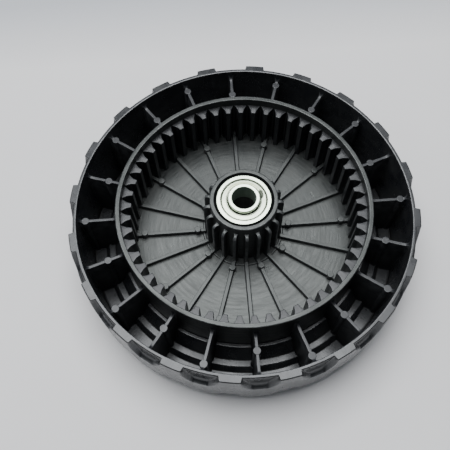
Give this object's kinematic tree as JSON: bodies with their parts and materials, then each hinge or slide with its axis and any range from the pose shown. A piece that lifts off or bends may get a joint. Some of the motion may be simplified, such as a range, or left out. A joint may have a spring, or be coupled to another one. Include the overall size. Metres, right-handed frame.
{
  "type": "mower drive wheel",
  "caption": "Moulded plastic drive wheel with an internal ring gear, ribbed disc, webbed rim pockets, lugged tread and a hub that turns on a pair of shielded ball bearings.",
  "frame": {"origin": "on the wheel's axis, in the plane of the outer face that the wheel lies on", "axes": "+Z along the wheel's axis from the outer face to the gear side; +Y through the first pocket web"},
  "size_m": [0.2244, 0.2244, 0.0617],
  "materials": {
    "black_moulded_plastic": "satin moulded plastic, dark grey to black",
    "race_steel": "ground and polished bearing steel",
    "shield_steel": "pressed bright steel sheet",
    "cage_steel": "pressed steel sheet",
    "ball_steel": "polished bearing balls",
    "spacer_steel": "plain turned steel tube"
  },
  "bodies": {
    "axle_side": {"bearing_spacer": "spacer_steel", "gear_side_inner_race": "race_steel", "outer_side_inner_race": "race_steel"},
    "wheel": {"wheel_body": "black_moulded_plastic", "gear_side_outer_race": "race_steel", "gear_side_outward_shield": "shield_steel", "gear_side_inward_shield": "shield_steel", "outer_side_outer_race": "race_steel", "outer_side_outward_shield": "shield_steel", "outer_side_inward_shield": "shield_steel"},
    "gear_side_ball_set": {"gear_side_cage_outward_half": "cage_steel", "gear_side_cage_inward_half": "cage_steel", "gear_side_ball_1": "ball_steel", "gear_side_ball_2": "ball_steel", "gear_side_ball_3": "ball_steel", "gear_side_ball_4": "ball_steel", "gear_side_ball_5": "ball_steel", "gear_side_ball_6": "ball_steel", "gear_side_ball_7": "ball_steel", "gear_side_ball_8": "ball_steel"},
    "outer_side_ball_set": {"outer_side_cage_outward_half": "cage_steel", "outer_side_cage_inward_half": "cage_steel", "outer_side_ball_1": "ball_steel", "outer_side_ball_2": "ball_steel", "outer_side_ball_3": "ball_steel", "outer_side_ball_4": "ball_steel", "outer_side_ball_5": "ball_steel", "outer_side_ball_6": "ball_steel", "outer_side_ball_7": "ball_steel", "outer_side_ball_8": "ball_steel"}
  },
  "joints": [
    {"name": "wheel_spin", "type": "hinge", "parent": "axle_side", "child": "wheel", "pos_m": [0, 0, 0.028], "axis": [0, 0, 1], "continuous": true},
    {"name": "gear_side_ball_set_spin", "type": "hinge", "parent": "axle_side", "child": "gear_side_ball_set", "pos_m": [0, 0, 0.0538], "axis": [0, 0, 1], "continuous": true},
    {"name": "outer_side_ball_set_spin", "type": "hinge", "parent": "axle_side", "child": "outer_side_ball_set", "pos_m": [0, 0, 0.01], "axis": [0, 0, 1], "continuous": true}
  ],
  "couplings": [
    {"joint": "gear_side_ball_set_spin", "follows": "wheel_spin", "ratio": 0.61812},
    {"joint": "outer_side_ball_set_spin", "follows": "wheel_spin", "ratio": 0.61812}
  ]
}
